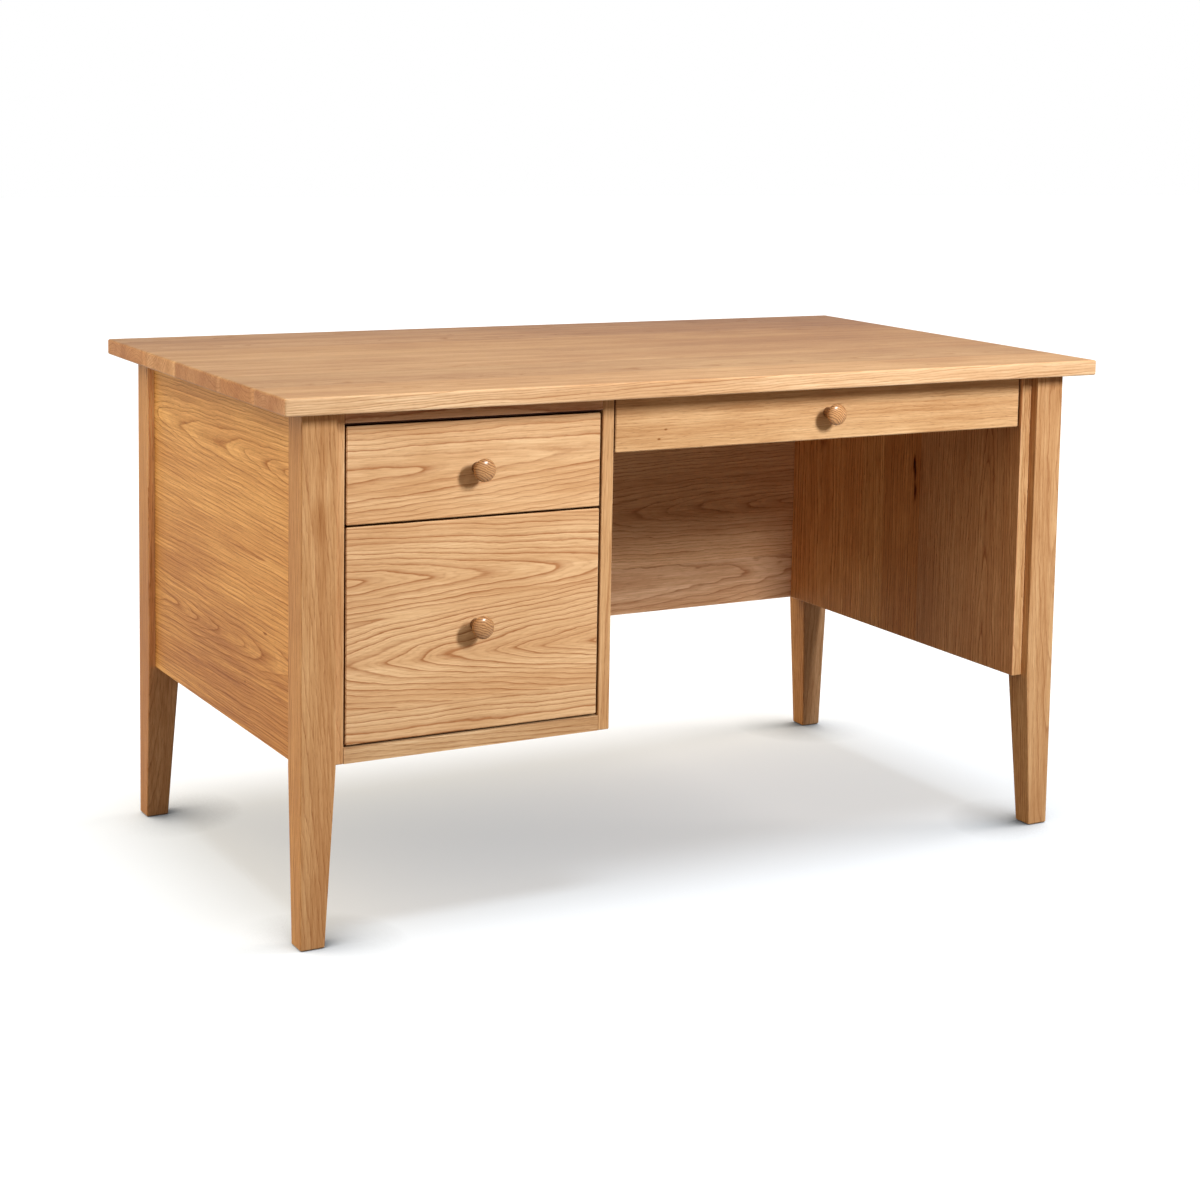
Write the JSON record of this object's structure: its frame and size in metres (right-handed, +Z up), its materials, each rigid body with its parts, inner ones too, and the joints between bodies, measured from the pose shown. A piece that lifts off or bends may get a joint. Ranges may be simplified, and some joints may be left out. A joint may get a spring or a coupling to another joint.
{
  "type": "executive desk",
  "caption": "Oak executive desk on tapered square legs, with a drawer pedestal on the sitter's left, a drawer over the kneehole and dovetailed boxes on telescopic slides.",
  "frame": {"origin": "on the floor under the middle of the top, at the bottom centre of the bounding box", "axes": "+X to the sitter's right along the desk's length, +Y from the sitter to the back, +Z up"},
  "size_m": [1.354, 0.788, 0.762],
  "materials": {
    "oak": "satin clear lacquer over light oak",
    "drawer_wood": "clear lacquer over pale hardwood",
    "plywood": "clear lacquer over birch plywood",
    "steel": "zinc plated"
  },
  "bodies": {
    "desk": {"desk_top": "oak", "leg_front_left": "oak", "leg_front_right": "oak", "leg_back_left": "oak", "leg_back_right": "oak", "end_panel_left": "oak", "end_panel_right": "oak", "back_panel": "oak", "pedestal_side_left": "oak", "pedestal_side_right": "oak", "kneehole_side_right": "oak", "pedestal_bottom": "oak", "pedestal_top_rail_front": "oak", "pedestal_top_rail_back": "oak", "top_cleat_left": "drawer_wood", "top_cleat_right": "drawer_wood", "top_cleat_back": "drawer_wood", "box_slide_outer_left": "steel", "box_slide_outer_right": "steel", "file_slide_outer_left": "steel", "file_slide_outer_right": "steel", "centre_slide_outer_left": "steel", "centre_slide_outer_right": "steel"},
    "box_slides": {"box_slide_middle_left": "steel", "box_slide_middle_right": "steel"},
    "file_slides": {"file_slide_middle_left": "steel", "file_slide_middle_right": "steel"},
    "centre_slides": {"centre_slide_middle_left": "steel", "centre_slide_middle_right": "steel"},
    "box_drawer": {"box_drawer_front": "oak", "box_drawer_box_front": "drawer_wood", "box_drawer_side_left": "drawer_wood", "box_drawer_side_right": "drawer_wood", "box_drawer_back": "drawer_wood", "box_drawer_bottom": "plywood", "box_drawer_knob": "oak", "box_drawer_knob_screw": "steel", "box_slide_inner_left": "steel", "box_slide_inner_right": "steel"},
    "file_drawer": {"file_drawer_front": "oak", "file_drawer_box_front": "drawer_wood", "file_drawer_side_left": "drawer_wood", "file_drawer_side_right": "drawer_wood", "file_drawer_back": "drawer_wood", "file_drawer_bottom": "plywood", "file_drawer_knob": "oak", "file_drawer_knob_screw": "steel", "file_slide_inner_left": "steel", "file_slide_inner_right": "steel"},
    "centre_drawer": {"centre_drawer_front": "oak", "centre_drawer_box_front": "drawer_wood", "centre_drawer_side_left": "drawer_wood", "centre_drawer_side_right": "drawer_wood", "centre_drawer_back": "drawer_wood", "centre_drawer_bottom": "plywood", "centre_drawer_knob": "oak", "centre_drawer_knob_screw": "steel", "centre_slide_inner_left": "steel", "centre_slide_inner_right": "steel"}
  },
  "joints": [
    {"name": "box_drawer_slide", "type": "slide", "parent": "desk", "child": "box_drawer", "axis": [0, -1, 0], "range_m": [0, 0.53]},
    {"name": "box_slides_slide", "type": "slide", "parent": "desk", "child": "box_slides", "axis": [0, -1, 0], "range_m": [0, 0.265]},
    {"name": "file_drawer_slide", "type": "slide", "parent": "desk", "child": "file_drawer", "axis": [0, -1, 0], "range_m": [0, 0.53]},
    {"name": "file_slides_slide", "type": "slide", "parent": "desk", "child": "file_slides", "axis": [0, -1, 0], "range_m": [0, 0.265]},
    {"name": "centre_drawer_slide", "type": "slide", "parent": "desk", "child": "centre_drawer", "axis": [0, -1, 0], "range_m": [0, 0.53]},
    {"name": "centre_slides_slide", "type": "slide", "parent": "desk", "child": "centre_slides", "axis": [0, -1, 0], "range_m": [0, 0.265]}
  ],
  "couplings": [
    {"joint": "box_slides_slide", "follows": "box_drawer_slide", "ratio": 0.5},
    {"joint": "file_slides_slide", "follows": "file_drawer_slide", "ratio": 0.5},
    {"joint": "centre_slides_slide", "follows": "centre_drawer_slide", "ratio": 0.5}
  ]
}
